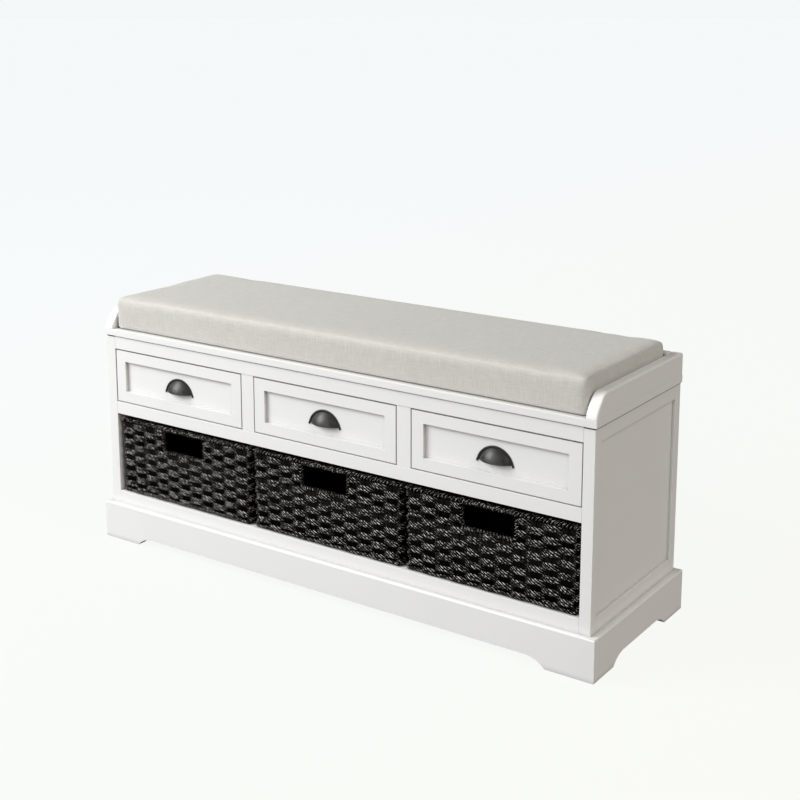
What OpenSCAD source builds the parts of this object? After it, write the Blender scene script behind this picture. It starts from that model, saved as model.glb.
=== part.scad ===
// Entryway bench: painted cabinet on a bracket-foot plinth, three inset drawers over one
// open bay with three woven baskets, a low gallery round the seat and a loose box cushion.
// Origin: middle of the footprint on the floor. +X along the bench, the front faces -Y.
// Inside the modules y is counted backwards from the front face of the cabinet.

/* [Cabinet] */
// Length of the cabinet over its side frames
body_w = 1035; // [900:1:1200]
// Depth of the cabinet from front face to back panel
body_d = 311; // [290:1:380]
// Thickness of the posts and of the front rails
post_t = 20; // [18:0.5:24]
// Height of the rail under the seat
top_rail_h = 24; // [20:0.5:34]
// Height of the rail under the drawers
middle_rail_h = 24; // [20:0.5:34]
// Height of the rail under the basket bay
bottom_rail_h = 25; // [20:0.5:34]
// Clear height of the drawer openings
drawer_open_h = 104; // [90:0.5:130]
// Clear height of the basket bay
bay_h = 155.5; // [130:0.5:200]
// Width of the uprights between the drawers
mullion_w = 28; // [22:0.5:34]
// Thickness of the upright panels behind them
partition_t = 15; // [12:0.5:18]
// Thickness of the drawer shelf
shelf_t = 15; // [12:0.5:18]
// Depth of the sunk field in each side frame
side_recess = 5; // [3:0.5:8]
// How far the side field runs into its frame
panel_tongue = 6; // [3:0.5:8]
// Thickness of the back panel
back_t = 5; // [3:0.5:8]

/* [Plinth] */
// Height of the plinth
plinth_h = 71; // [50:0.5:100]
// How far the plinth stands out at the ends
plinth_side = 12.5; // [6:0.5:16]
// How far the plinth stands out at the front and back
plinth_front_out = 10; // [6:0.5:14]
// Thickness of the plinth boards
plinth_t = 18; // [15:0.5:22]
// Slope on the plinth's top edge
plinth_chamfer = 1.5; // [1:0.5:5]
// Length of each foot along the front
foot_front = 86; // [60:1:120]
// Length of each foot along the side
foot_side = 69; // [50:1:90]
// Height of the cut-out between the feet
notch_h = 16; // [10:0.5:30]
// Radius that ends each cut-out
notch_r = 49.5; // [40:0.5:60]
// Side of the square corner blocks
block = 40; // [30:1:45]

/* [Seat] */
// Thickness of the seat board
seat_t = 14; // [12:0.5:18]
// Overhang of the seat board at the front and ends
seat_over = 3; // [2:0.5:8]
// Height of the shadow line under the seat board
shadow_h = 1.5; // [1:0.5:3]
// Depth of the shadow line
shadow_d = 9; // [4:0.5:12]
// Height of the gallery above the seat board
gallery_h = 38; // [25:0.5:60]
// Thickness of the gallery boards
gallery_t = 20; // [15:0.5:24]
// Height of the cushion
cushion_h = 60; // [40:1:90]
// Gap between the cushion and the side galleries
cushion_gap = 4.5; // [2:0.5:10]
// Edge radius of the cushion
cushion_r = 20; // [10:1:24]

/* [Drawers] */
// Gap round each drawer front
drawer_gap = 2; // [1:0.25:3]
// Thickness of the drawer fronts
front_t = 16; // [14:0.5:20]
// Depth of the sunk field in a drawer front
front_recess = 6; // [3:0.5:8]
// Width of the raised border at the sides of a front
border_side = 22.5; // [16:0.5:34]
// Width of the raised border at the top and bottom of a front
border_top = 20.5; // [16:0.5:28]
// Depth of the drawer box behind its front
box_d = 260; // [220:1:265]
// Height of the drawer box
box_h = 80; // [60:1:90]
// Thickness of the drawer sides and back
box_t = 12; // [10:0.5:15]
// Thickness of the drawer bottom
bottom_t = 5; // [3:0.5:6]
// Depth of the groove that holds the drawer bottom
bottom_groove = 5; // [3:0.5:6]
// Working space for one runner beside the box
runner_space = 12.8; // [12:0.1:14]
// Length of the runners
runner_l = 250; // [210:1:255]
// Height of the cabinet member of a runner
runner_h = 35; // [27:1:45]
// Gauge of the runner steel
runner_gauge = 1.2; // [1:0.1:2]
// Travel of a drawer
drawer_travel = 180; // [120:1:185]

/* [Pulls] */
// Radius of the flange of a cup pull
pull_r = 35; // [30:0.5:40]
// Height of a cup pull
pull_h = 30.5; // [26:0.5:34]
// How far the cup stands out from the drawer front
pull_out = 16; // [12:0.5:17]
// Width of the flange round the cup
flange_w = 3.5; // [2:0.5:5]
// Thickness of the flange
flange_t = 1.6; // [1:0.1:2.5]
// Wall of the cup
cup_wall = 1.8; // [1.2:0.1:2.5]
// Height of the pull's base above the drawer opening's floor
pull_up = 36.8; // [25:0.1:50]
// Distance between the two screws
screw_pitch = 32; // [24:1:40]

/* [Baskets] */
// Width of a basket at its rim
basket_w = 324; // [280:1:325]
// Depth of a basket at its rim
basket_d = 282; // [240:1:284]
// Height of a basket
basket_h = 149; // [120:1:152]
// Wall of a basket
basket_wall = 8; // [5:0.5:12]
// How much narrower each side is at the bottom
basket_taper = 1; // [0:0.5:8]
// Corner radius of a basket
basket_r = 9; // [6:1:24]
// Width of the handle opening
handle_w = 101; // [70:1:120]
// Height of the handle opening
handle_h = 41; // [25:1:50]
// Distance from the rim down to the handle opening
handle_drop = 8.5; // [6:0.5:16]

/* [Hidden] */
$fn = 96;
fit = 0.3;
stop_gap = 0.5;
past = 1;

side_out = body_w / 2;
side_in = side_out - post_t;
body_front_y = -body_d / 2;
plinth_x = side_out + plinth_side;
plinth_y0 = -plinth_front_out;
plinth_y1 = body_d + plinth_front_out;

bay_z = plinth_h + bottom_rail_h;
middle_rail_z = bay_z + bay_h;
drawer_z = middle_rail_z + middle_rail_h;
top_rail_z = drawer_z + drawer_open_h;
seat_z = top_rail_z + top_rail_h;
gallery_z = seat_z + seat_t;
gallery_top = gallery_z + gallery_h;
board_end = body_d - back_t;
back_rail_y = board_end - post_t;

// half of the middle opening that makes the three drawer boxes alike
open_half = (side_in - 1.5 * mullion_w + 0.5 * partition_t) / 3;
mullion_x = open_half + mullion_w / 2;
space_w = 2 * mullion_x - partition_t;
side_open_w = side_in - open_half - mullion_w;
mullion_set = 1;

box_w = space_w - 2 * runner_space;
box_z = drawer_z + 6.5;
box_y = mullion_set + front_t;
box_end = box_y + box_d;
bottom_z = box_z + 6;
field_y = mullion_set + front_recess;
runner_z = box_z + box_h / 2;
runner_y = post_t + 2;
runner_play = 0.4;
// the drawer member is shallow enough to pass the uprights
runner_reach = open_half - box_w / 2 - stop_gap;
rear_stop_y = runner_y + runner_l - 12;
stop_t = 3;
front_stop_y = rear_stop_y - drawer_travel - stop_t - stop_gap;

cup_base_r = pull_r - flange_w;
cup_r = (cup_base_r ^ 2 + pull_out ^ 2) / (2 * pull_out);
cup_centre_y = cup_r - pull_out;
cup_centre_z = pull_h - pull_r;
lip_z = 3.7;
foot_r = flange_w / 2;
screw_r = 2;
screw_hole_r = 2.2;
boss_r = 3.4;
boss_z = 9;
boss_deep = 6;
screw_head_r = 4;
screw_head_h = 2.2;

basket_pitch = basket_w + 7;
basket_y = 0.5;
slice = 0.5;
handle_z = bay_z + basket_h - handle_drop - handle_h;

cushion_x = side_in + seat_over - cushion_gap;
cushion_corner_r = 32;
cushion_y0 = 6;
cushion_y1 = body_d - gallery_t - 4;

pin_r = 1.5;
pin_hole_r = 1.55;
pin_head_r = 4;
pin_head_h = 1.6;
pin_deep = 14;
pin_xs = [-450, -225, 0, 225, 450];
pin_zs = [plinth_h + bottom_rail_h / 2, drawer_z - shelf_t / 2, top_rail_z + top_rail_h / 2];

white = [0.93, 0.93, 0.92];
inside = [0.88, 0.88, 0.86];
ply = [0.80, 0.70, 0.55];
steel = [0.70, 0.71, 0.72];
gunmetal = [0.16, 0.16, 0.16];
wicker = [0.17, 0.15, 0.14];
linen = [0.80, 0.79, 0.75];

// ---- helpers ----

// a box between two corners
module slab(low, high) {
    translate(low)
        cube(high - low);
}

// y of the children counts from the cabinet's front face
module from_front() {
    translate([0, body_front_y, 0])
        children();
}

// a thing drawn on the right, s = 1, or mirrored to the left, s = -1
module on_side(s) {
    mirror([s < 0 ? 1 : 0, 0, 0])
        children();
}

// a flat outline in x and z, pushed back from y0 to y1
module push_back(y0, y1) {
    translate([0, y1, 0])
        rotate([90, 0, 0])
            linear_extrude(y1 - y0)
                children();
}

// a flat outline in y and z, pushed along x from x0 to x1
module push_along(x0, x1) {
    translate([x0, 0, 0])
        rotate([90, 0, 90])
            linear_extrude(x1 - x0)
                children();
}

// a rod towards +y
module rod(r, y0, y1, x, z) {
    translate([x, y0, z])
        rotate([-90, 0, 0])
            cylinder(r = r, h = y1 - y0, $fn = 48);
}

// a thin slice with round corners, from -x to x and from y0 to y1
module rounded_slice(x, y0, y1, r) {
    linear_extrude(slice)
        for (sx = [-1, 1])
            for (y = [y0 + r, y1 - r])
                translate([sx * (x - r), y])
                    circle(r = r, $fn = 32);
}

// ---- side frames ----

module side_field() {
    slab([side_in, post_t - panel_tongue, bay_z - panel_tongue],
         [side_out - side_recess, body_d - post_t + panel_tongue, top_rail_z + panel_tongue]);
}

module side_member(s, low, high) {
    color(white)
        from_front()
            on_side(s)
                difference() {
                    slab(low, high);
                    side_field();
                }
}

module side_post(s, y0) {
    side_member(s, [side_in, y0, plinth_h], [side_out, y0 + post_t, seat_z]);
}

module side_rail(s, z0, z1) {
    side_member(s, [side_in, post_t, z0], [side_out, body_d - post_t, z1]);
}

module side_panel(s) {
    color(white)
        from_front()
            on_side(s)
                side_field();
}

// ---- front frame, shelves and back ----

module front_rail(z0, h) {
    color(white)
        from_front()
            slab([-side_in, 0, z0], [side_in, post_t, z0 + h]);
}

module mullion(s) {
    color(white)
        from_front()
            translate([s * mullion_x, 0, 0])
                slab([-mullion_w / 2, mullion_set, drawer_z], [mullion_w / 2, post_t, top_rail_z]);
}

module partition(s) {
    color(inside)
        from_front()
            translate([s * mullion_x, 0, 0])
                difference() {
                    slab([-partition_t / 2, post_t, drawer_z], [partition_t / 2, board_end, seat_z]);
                    slab([-partition_t, back_rail_y, top_rail_z], [partition_t, board_end + past, seat_z + past]);
                }
}

// pilot holes for the back panel's screws
module pin_holes() {
    for (x = pin_xs)
        for (z = pin_zs)
            rod(pin_hole_r, body_d - pin_deep, body_d + past, x, z);
}

module screwed_board(low, high, tint) {
    color(tint)
        from_front()
            difference() {
                slab(low, high);
                pin_holes();
            }
}

module drawer_shelf() {
    screwed_board([-side_in, post_t, drawer_z - shelf_t], [side_in, board_end, drawer_z], inside);
}

module bottom_board() {
    screwed_board([-side_in, post_t, plinth_h], [side_in, board_end, bay_z], inside);
}

module top_back_rail() {
    screwed_board([-side_in, back_rail_y, top_rail_z], [side_in, board_end, seat_z], inside);
}

module back_panel() {
    screwed_board([-side_in, board_end, plinth_h], [side_in, body_d, seat_z], white);
}

module back_panel_screws() {
    color(steel)
        from_front()
            for (x = pin_xs)
                for (z = pin_zs) {
                    rod(pin_r, body_d - pin_deep, body_d, x, z);
                    rod(pin_head_r, body_d, body_d + pin_head_h, x, z);
                }
}

// ---- plinth ----

// outline of the plinth's section with its sloped top edges
module plinth_section(a0, a1) {
    polygon([
        [a0, 0],
        [a1, 0],
        [a1, plinth_h - plinth_chamfer],
        [a1 - plinth_chamfer, plinth_h],
        [a0 + plinth_chamfer, plinth_h],
        [a0, plinth_h - plinth_chamfer]
    ]);
}

module plinth_envelope() {
    intersection() {
        push_along(-plinth_x, plinth_x)
            plinth_section(plinth_y0, plinth_y1);
        push_back(plinth_y0, plinth_y1)
            plinth_section(-plinth_x, plinth_x);
    }
}

// the cut-out between two feet: straight, with an arc at each end
module notch_outline(a0, a1) {
    run = sqrt(2 * notch_r * notch_h - notch_h ^ 2);
    translate([a0 + run, -past])
        square([a1 - a0 - 2 * run, notch_h + past]);
    for (a = [a0 + run, a1 - run])
        translate([a, notch_h - notch_r])
            circle(r = notch_r);
}

module plinth_long_board(y0) {
    color(white)
        from_front()
            difference() {
                intersection() {
                    slab([-plinth_x, y0, 0], [plinth_x, y0 + plinth_t, plinth_h]);
                    plinth_envelope();
                }
                push_back(y0 - past, y0 + plinth_t + past)
                    notch_outline(-plinth_x + foot_front, plinth_x - foot_front);
            }
}

module plinth_end_board(s) {
    color(white)
        from_front()
            on_side(s)
                difference() {
                    intersection() {
                        slab([plinth_x - plinth_t, plinth_y0 + plinth_t, 0],
                             [plinth_x, plinth_y1 - plinth_t, plinth_h]);
                        plinth_envelope();
                    }
                    push_along(plinth_x - plinth_t - past, plinth_x + past)
                        notch_outline(plinth_y0 + foot_side, plinth_y1 - foot_side);
                }
}

module plinth_corner_blocks() {
    inner_x = plinth_x - plinth_t;
    color(ply)
        from_front()
            for (s = [-1, 1])
                on_side(s)
                    for (y = [plinth_y0 + plinth_t, plinth_y1 - plinth_t - block])
                        slab([inner_x - block, y, 3], [inner_x, y + block, plinth_h]);
}

// ---- seat and gallery ----

module seat_board() {
    x = side_out + seat_over;
    color(white)
        from_front() {
            slab([-x, -seat_over, seat_z + shadow_h], [x, body_d, gallery_z]);
            slab([-x + shadow_d, shadow_d - seat_over, seat_z], [x - shadow_d, body_d, seat_z + shadow_h]);
        }
}

// a point on a quadratic curve from a to c that leans towards b
function bend(a, b, c, t) = (1 - t) ^ 2 * a + 2 * t * (1 - t) * b + t ^ 2 * c;

// side view of a gallery end: it sweeps back from the front edge and rounds into its top
module gallery_outline() {
    foot = [-seat_over, gallery_z];
    sweep = [7, gallery_z + 20];
    shoulder = [16, gallery_z + 30.5];
    top = [34, gallery_top];
    polygon(concat(
        [for (t = [0:0.125:1]) bend(foot, [foot.x + 2, gallery_z + 10.5], sweep, t)],
        [for (t = [0:0.125:1]) bend(shoulder, [22.5, gallery_top], top, t)],
        [[body_d, gallery_top], [body_d, gallery_z]]
    ));
}

module end_gallery(s) {
    x = side_out + seat_over;
    color(white)
        from_front()
            on_side(s)
                push_along(x - gallery_t, x)
                    gallery_outline();
}

module back_gallery() {
    x = side_out + seat_over - gallery_t;
    color(white)
        from_front()
            slab([-x, body_d - gallery_t, gallery_z], [x, body_d, gallery_top]);
}

// half of the cushion's thickness: its plan drawn in step by step along a quarter round
module cushion_edge(z_far, z_sign) {
    steps = 4;
    for (k = [0:steps]) {
        a = 90 * k / steps;
        inset = cushion_r * (1 - cos(a));
        translate([0, 0, z_far - z_sign * cushion_r * (1 - sin(a)) - (z_sign > 0 ? slice : 0)])
            rounded_slice(cushion_x - inset, cushion_y0 + inset, cushion_y1 - inset,
                          cushion_corner_r - inset);
    }
}

module seat_cushion() {
    z0 = gallery_z + fit;
    color(linen)
        from_front()
            hull() {
                cushion_edge(z0, -1);
                cushion_edge(z0 + cushion_h, 1);
            }
}

// ---- drawer runners ----

// a channel with its web at x = 0 that opens towards +x
module channel(depth, h, y0, y1) {
    g = runner_gauge;
    slab([0, y0, -h / 2], [g, y1, h / 2]);
    for (z = [-h / 2, h / 2 - g])
        slab([0, y0, z], [depth, y1, z + g]);
}

// height of the drawer member, which leaves room above it for the stops
function inner_h() = runner_h - 2 * runner_gauge - 2 * runner_play - 2 * stop_t;

// cabinet member: channel, closed rear end and front stops
module cabinet_runner() {
    g = runner_gauge;
    depth = runner_space - g - fit;
    y1 = runner_y + runner_l;
    channel(depth, runner_h, runner_y, y1);
    slab([0, y1 - g, -runner_h / 2], [depth, y1, runner_h / 2]);
    for (z = [-runner_h / 2 + g, runner_h / 2 - g - stop_t])
        slab([g, front_stop_y, z], [depth, front_stop_y + stop_t, z + stop_t]);
}

// drawer member: channel that faces the other way, with rear stops above and below
module drawer_runner() {
    g = runner_gauge;
    h = inner_h();
    y1 = runner_y + runner_l - g - stop_gap;
    on_side(-1) {
        channel(runner_reach, h, box_y + 2, y1);
        for (z = [-h / 2 - stop_t, h / 2])
            slab([g + fit, rear_stop_y, z], [runner_reach, rear_stop_y + stop_t, z + stop_t]);
    }
}

// middle of drawer box number i, which is -1, 0 or 1
function box_x(i) = i * (mullion_x + partition_t / 2 + side_in) / 2;

module cabinet_runners() {
    color(steel)
        from_front()
            for (i = [-1:1])
                for (s = [-1, 1])
                    translate([box_x(i), 0, runner_z])
                        on_side(s)
                            translate([-space_w / 2, 0, 0])
                                cabinet_runner();
}

module drawer_runners(i) {
    color(steel)
        from_front()
            for (s = [-1, 1])
                translate([box_x(i), 0, runner_z])
                    on_side(s)
                        translate([-box_w / 2, 0, 0])
                            drawer_runner();
}

// ---- drawers ----

function front_x(i) = i * (open_half + mullion_w + side_in) / 2;
function front_w(i) = (i == 0 ? 2 * open_half : side_open_w) - 2 * drawer_gap;

module in_box(i) {
    from_front()
        translate([box_x(i), 0, 0])
            children();
}

module bottom_sheet() {
    x = box_w / 2 - box_t + bottom_groove;
    slab([-x, box_y - bottom_groove, bottom_z], [x, box_end, bottom_z + bottom_t]);
}

module drawer_front(i) {
    x = front_w(i) / 2;
    z0 = drawer_z + drawer_gap;
    z1 = top_rail_z - drawer_gap - 0.5;
    color(white)
        difference() {
            from_front()
                translate([front_x(i), 0, 0])
                    difference() {
                        slab([-x, mullion_set, z0], [x, box_y, z1]);
                        slab([-x + border_side, -past, z0 + border_top],
                             [x - border_side, field_y, z1 - border_top]);
                        for (s = [-1, 1])
                            rod(screw_hole_r, field_y - past, box_y + past, s * screw_pitch / 2,
                                drawer_z + pull_up + boss_z);
                    }
            in_box(i)
                bottom_sheet();
        }
}

module drawer_side(i, s) {
    color(inside)
        in_box(i)
            difference() {
                on_side(s)
                    slab([box_w / 2 - box_t, box_y, box_z], [box_w / 2, box_end, box_z + box_h]);
                bottom_sheet();
            }
}

module drawer_back(i) {
    x = box_w / 2 - box_t;
    color(inside)
        in_box(i)
            slab([-x, box_end - box_t, bottom_z + bottom_t], [x, box_end, box_z + box_h]);
}

module drawer_bottom(i) {
    color(ply)
        in_box(i)
            bottom_sheet();
}

// ---- cup pulls ----

// places a pull: y = 0 is the drawer's sunk field, z = 0 the pull's base
module at_pull(i) {
    from_front()
        translate([front_x(i), field_y, drawer_z + pull_up])
            children();
}

module flange_outline() {
    difference() {
        translate([0, cup_centre_z])
            circle(r = pull_r);
        translate([0, cup_centre_z])
            circle(r = cup_base_r - cup_wall);
        translate([-pull_r - past, -2 * pull_r])
            square([2 * pull_r + 2 * past, 2 * pull_r + foot_r]);
    }
}

module cup_shell() {
    intersection() {
        union() {
            difference() {
                sphere(r = cup_r);
                sphere(r = cup_r - cup_wall);
            }
            for (s = [-1, 1])
                rod(boss_r, -cup_r, past, s * screw_pitch / 2, boss_z - cup_centre_z);
        }
        sphere(r = cup_r);
        slab([-pull_r, -cup_r - past, lip_z - cup_centre_z], [pull_r, -cup_centre_y, cup_r]);
    }
}

module cup_pull(i) {
    color(gunmetal)
        at_pull(i)
            difference() {
                union() {
                    push_back(-flange_t, 0)
                        flange_outline();
                    for (s = [-1, 1])
                        rod(foot_r, -flange_t, 0, s * (pull_r - foot_r - 0.2), foot_r);
                    translate([0, cup_centre_y, cup_centre_z])
                        cup_shell();
                }
                for (s = [-1, 1])
                    rod(screw_r + 0.05, -boss_deep - stop_gap, past, s * screw_pitch / 2, boss_z);
            }
}

module pull_screws(i) {
    inner_face = box_y - field_y;
    color(steel)
        at_pull(i)
            for (s = [-1, 1]) {
                rod(screw_r, -boss_deep, inner_face, s * screw_pitch / 2, boss_z);
                rod(screw_head_r, inner_face, inner_face + screw_head_h, s * screw_pitch / 2, boss_z);
            }
}

// ---- baskets ----

// a tapered box with round corners, drawn in by the given amount all round
module basket_form(inset, z0, z1) {
    lean = basket_taper + inset;
    hull() {
        translate([0, 0, z0])
            rounded_slice(basket_w / 2 - lean, basket_y + lean, basket_y + basket_d - lean, basket_r);
        translate([0, 0, z1 - slice])
            rounded_slice(basket_w / 2 - inset, basket_y + inset, basket_y + basket_d - inset, basket_r);
    }
}

module basket(i) {
    z0 = bay_z + fit;
    z1 = bay_z + basket_h;
    color(wicker)
        from_front()
            translate([i * basket_pitch, 0, 0])
                difference() {
                    basket_form(0, z0, z1);
                    basket_form(basket_wall, z0 + basket_wall, z1 + past);
                    slab([-handle_w / 2, -past, handle_z],
                         [handle_w / 2, basket_y + 3 * basket_wall, handle_z + handle_h]);
                }
}

// ---- nodes ----

side_post(-1, 0);  // left_front_post
side_post(-1, body_d - post_t);  // left_back_post
side_rail(-1, top_rail_z, seat_z);  // left_side_top_rail
side_rail(-1, plinth_h, bay_z);  // left_side_bottom_rail
side_panel(-1);  // left_side_panel
side_post(1, 0);  // right_front_post
side_post(1, body_d - post_t);  // right_back_post
side_rail(1, top_rail_z, seat_z);  // right_side_top_rail
side_rail(1, plinth_h, bay_z);  // right_side_bottom_rail
side_panel(1);  // right_side_panel
front_rail(top_rail_z, top_rail_h);  // top_front_rail
front_rail(middle_rail_z, middle_rail_h);  // middle_front_rail
front_rail(plinth_h, bottom_rail_h);  // bottom_front_rail
mullion(-1);  // left_mullion
mullion(1);  // right_mullion
partition(-1);  // left_partition
partition(1);  // right_partition
drawer_shelf();
bottom_board();
back_panel();
top_back_rail();
back_panel_screws();
plinth_long_board(plinth_y0);  // plinth_front
plinth_long_board(plinth_y1 - plinth_t);  // plinth_back
plinth_end_board(-1);  // plinth_left
plinth_end_board(1);  // plinth_right
plinth_corner_blocks();
seat_board();
end_gallery(-1);  // left_gallery
end_gallery(1);  // right_gallery
back_gallery();
cabinet_runners();
drawer_front(-1);  // left_drawer_front
drawer_side(-1, -1);  // left_drawer_left_side
drawer_side(-1, 1);  // left_drawer_right_side
drawer_back(-1);  // left_drawer_back
drawer_bottom(-1);  // left_drawer_bottom
drawer_runners(-1);  // left_drawer_runners
cup_pull(-1);  // left_cup_pull
pull_screws(-1);  // left_pull_screws
drawer_front(0);  // middle_drawer_front
drawer_side(0, -1);  // middle_drawer_left_side
drawer_side(0, 1);  // middle_drawer_right_side
drawer_back(0);  // middle_drawer_back
drawer_bottom(0);  // middle_drawer_bottom
drawer_runners(0);  // middle_drawer_runners
cup_pull(0);  // middle_cup_pull
pull_screws(0);  // middle_pull_screws
drawer_front(1);  // right_drawer_front
drawer_side(1, -1);  // right_drawer_left_side
drawer_side(1, 1);  // right_drawer_right_side
drawer_back(1);  // right_drawer_back
drawer_bottom(1);  // right_drawer_bottom
drawer_runners(1);  // right_drawer_runners
cup_pull(1);  // right_cup_pull
pull_screws(1);  // right_pull_screws
basket(-1);  // left_basket
basket(0);  // middle_basket
basket(1);  // right_basket
seat_cushion();
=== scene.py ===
"""Entryway bench: painted cabinet with three drawers, three woven baskets and a linen seat cushion."""

import math

import bmesh
import bpy
import numpy as np
from mathutils import Matrix, Quaternion, Vector


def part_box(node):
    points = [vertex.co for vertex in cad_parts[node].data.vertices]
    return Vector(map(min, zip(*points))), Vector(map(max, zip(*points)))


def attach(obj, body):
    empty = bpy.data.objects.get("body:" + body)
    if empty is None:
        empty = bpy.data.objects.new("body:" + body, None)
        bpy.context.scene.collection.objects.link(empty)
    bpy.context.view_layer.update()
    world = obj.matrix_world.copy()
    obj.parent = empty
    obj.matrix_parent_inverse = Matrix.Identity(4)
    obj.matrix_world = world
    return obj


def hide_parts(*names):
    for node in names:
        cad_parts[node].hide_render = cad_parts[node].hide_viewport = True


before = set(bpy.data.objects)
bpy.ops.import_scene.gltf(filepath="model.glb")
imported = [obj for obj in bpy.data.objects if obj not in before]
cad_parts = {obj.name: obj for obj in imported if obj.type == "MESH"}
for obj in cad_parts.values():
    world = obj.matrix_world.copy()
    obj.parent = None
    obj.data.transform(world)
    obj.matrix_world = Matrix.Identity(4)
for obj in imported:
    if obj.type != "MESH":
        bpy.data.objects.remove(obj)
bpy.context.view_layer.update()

# --------------------------------------------------
# View camera: it stands off the right-hand front corner a little above the seat, with the lens
# dropped on its standard so that the uprights stay nearly upright.

camera_at = Vector((1.4112, -1.9583, 1.0436))
camera_azimuth = 34.719
camera_elevation = 10.864
camera_roll = -0.025
lens_drop = -0.175


def put_in_scene(name, data):
    """A new object of the scene."""
    thing = bpy.data.objects.new(name, data)
    bpy.context.scene.collection.objects.link(thing)
    return thing


def direction(azimuth, elevation):
    """The way to what stands at an azimuth, in degrees from the front towards the right-hand
    end, and at an elevation."""
    a, e = math.radians(azimuth), math.radians(elevation)
    return Vector((math.sin(a) * math.cos(e), -math.cos(a) * math.cos(e), math.sin(e)))


camera = put_in_scene("view_camera", bpy.data.cameras.new("view_camera"))
bpy.context.scene.camera = camera
camera.location = camera_at
camera.rotation_mode = "QUATERNION"
level_view = (-direction(camera_azimuth, camera_elevation)).to_track_quat("-Z", "Y")
camera.rotation_quaternion = level_view @ Quaternion((0, 0, 1), math.radians(camera_roll))
camera.data.sensor_width = 36
camera.data.lens = 62.61
camera.data.shift_y = lens_drop
camera.data.clip_end = 200

# --------------------------------------------------
# Studio: the bench stands on a pale glowing table in a white room, so it throws hardly any
# shadow. A large soft box at the front left models it; broad weak lights fill the front, the
# right-hand end and the top.

bpy.context.scene.view_settings.view_transform = "Standard"

glow_cool = (0.900, 0.927, 0.932)
glow_warm = (0.915, 0.920, 0.872)
glow_cast = (0.15, 0.14, 0.125)
table_albedo = 0.04
room_white = (0.905, 0.932, 0.938)
room_light = (1.0, 0.985, 0.96)
room_strength = 0.05
glow_from_x = -2.5
glow_to_x = 1.6
table_radius = 60
aim_height = 0.3


def light_from(name, kind, azimuth, elevation, distance, energy, colour):
    """A light that stands at an azimuth, elevation and distance from the seat and faces it."""
    light = bpy.data.lights.new(name, kind)
    light.energy = energy
    light.color = colour
    source = direction(azimuth, elevation)
    lamp = put_in_scene(name, light)
    lamp.rotation_mode = "QUATERNION"
    lamp.rotation_quaternion = source.to_track_quat("Z", "Y")
    lamp.location = source * distance + Vector((0, 0, aim_height))
    return light


soft_box = light_from(
    "soft_box", "AREA", azimuth=-50, elevation=31, distance=4.4, energy=207, colour=(0.955, 0.98, 1.0))
soft_box.shape = "SQUARE"
soft_box.size = 2.4
for name, azimuth, elevation, strength, spread, colour in (
    ("front_fill", -5, 15, 1.08, 60, (0.97, 0.985, 1.0)),
    ("end_fill", 78, 36, 1.48, 40, (1.0, 0.95, 0.892)),
    ("overhead_light", 30, 80, 0.05, 40, (1.0, 0.985, 0.96)),
):
    light_from(name, "SUN", azimuth, elevation, 4, strength, colour).angle = math.radians(spread)


def put(tree, kind, *values, **settings):
    """Adds a node. The values go to its inputs in order: a socket is linked, None is left alone."""
    node = tree.nodes.new(kind)
    for name, value in settings.items():
        setattr(node, name, value)
    for socket, value in zip(node.inputs, values):
        if isinstance(value, bpy.types.NodeSocket):
            tree.links.new(value, socket)
        elif value is not None:
            socket.default_value = value
    return node


def ranged(tree, value, start, end, low=0.0, high=1.0):
    """A value that goes from low to high as another goes from start to end."""
    return put(tree, "ShaderNodeMapRange", value, start, end, low, high).outputs[0]


def mixed(tree, mask, first, second):
    """A colour between two others."""
    colours = [c if isinstance(c, bpy.types.NodeSocket) else (*c, 1) for c in (first, second)]
    node = put(tree, "ShaderNodeMix", mask, None, None, None, None, None, *colours, data_type="RGBA")
    return node.outputs[2]


def finish(name, roughness, **levels):
    """A new material: its tree, its shader and Object coordinates, with the steady levels set."""
    made_finish = bpy.data.materials.new(name)
    made_finish.use_nodes = True
    tree = made_finish.node_tree
    shader = tree.nodes["Principled BSDF"]
    shader.inputs["Roughness"].default_value = roughness
    for label, level in levels.items():
        shader.inputs[label.replace("_", " ")].default_value = level
    return made_finish, tree, shader, put(tree, "ShaderNodeTexCoord").outputs["Object"]


room = bpy.data.worlds.new("studio_room")
room.use_nodes = True
bpy.context.scene.world = room
air = room.node_tree
seen = put(air, "ShaderNodeBackground", (*room_white, 1))
lit = air.nodes["Background"]
lit.inputs["Color"].default_value = (*room_light, 1)
lit.inputs["Strength"].default_value = room_strength
eye_ray = put(air, "ShaderNodeLightPath").outputs["Is Camera Ray"]
either = put(air, "ShaderNodeMixShader", eye_ray, lit.outputs[0], seen.outputs[0])
air.links.new(either.outputs[0], air.nodes["World Output"].inputs[0])

table_work = bmesh.new()
bmesh.ops.create_circle(table_work, cap_ends=True, segments=64, radius=table_radius)
table_mesh = bpy.data.meshes.new("glowing_table")
table_work.to_mesh(table_mesh)
table_work.free()
table = put_in_scene("glowing_table", table_mesh)
table_grey = (table_albedo, table_albedo, table_albedo, 1)
table_finish, tree, shader, place = finish(
    "glowing_table", 1.0, Base_Color=table_grey, Specular_IOR_Level=0.0, Emission_Strength=1.0)
across = put(tree, "ShaderNodeSeparateXYZ", place).outputs["X"]
glow = mixed(tree, ranged(tree, across, glow_from_x, glow_to_x), glow_cool, glow_warm)
eye_ray = put(tree, "ShaderNodeLightPath").outputs["Is Camera Ray"]
tree.links.new(mixed(tree, eye_ray, glow_cast, glow), shader.inputs["Emission Color"])
table_mesh.materials.append(table_finish)

# --------------------------------------------------
# Painted frame: posts, rails, uprights and side fields are board, sprayed white after the
# arrises were rubbed down, so the satin coat is thin and slightly dull along every edge.

white_coat = (0.872, 0.862, 0.845)
rubbed_coat = (0.80, 0.79, 0.77)
# colour of the painted shadow in the gap under the seat board's ends
gap_shadow_colour = (0.03, 0.026, 0.022)
cloud_shade = 0.975
corner_shade = 0.66
corner_reach = 0.010
gap_drop = 0.0011
gap_height = 0.0028
gap_from_x = 0.4973


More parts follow.
